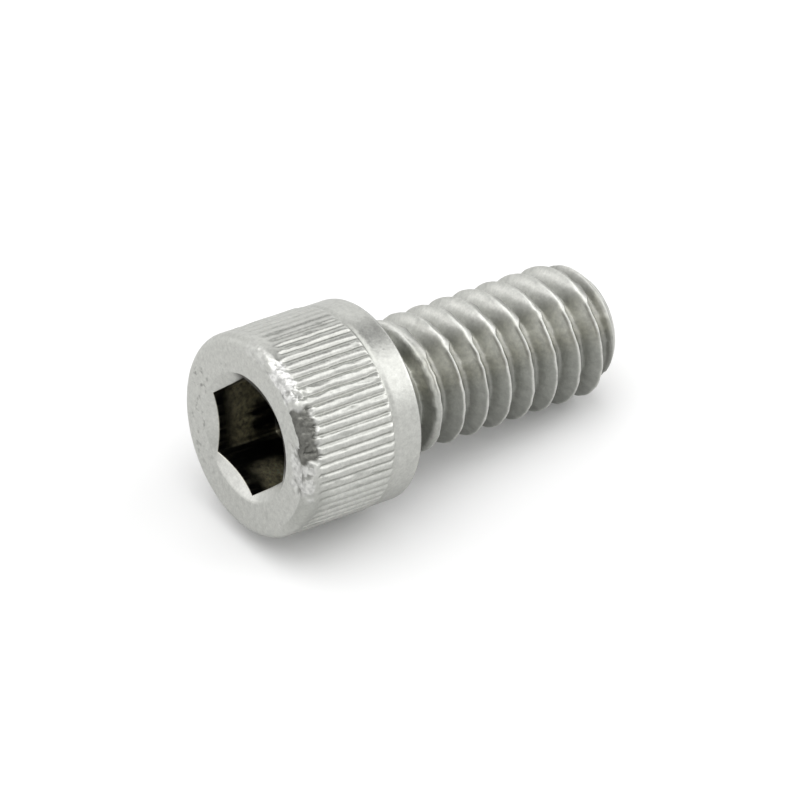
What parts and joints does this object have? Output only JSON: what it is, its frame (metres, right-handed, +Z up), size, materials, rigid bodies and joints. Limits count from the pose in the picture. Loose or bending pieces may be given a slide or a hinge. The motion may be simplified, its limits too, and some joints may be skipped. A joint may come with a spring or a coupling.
{
  "type": "socket head cap screw",
  "caption": "Short hex socket cap screw: knurled cylindrical head with a bruised edge, plain band and fillet under it, full-length right-hand thread and tapered tip, lying on its side",
  "frame": {"origin": "middle of the bounding box at the bottom, on the surface the screw lies on", "axes": "X along the screw as it lies, from the head towards the tip; Z up; the screw's own axis leans 7.4 degrees below X"},
  "size_m": [0.0192, 0.0092, 0.0099],
  "materials": {
    "cap_screw": "bright rolled stainless, satin face"
  },
  "bodies": {
    "root": {"cap_screw": "cap_screw"}
  },
  "joints": []
}
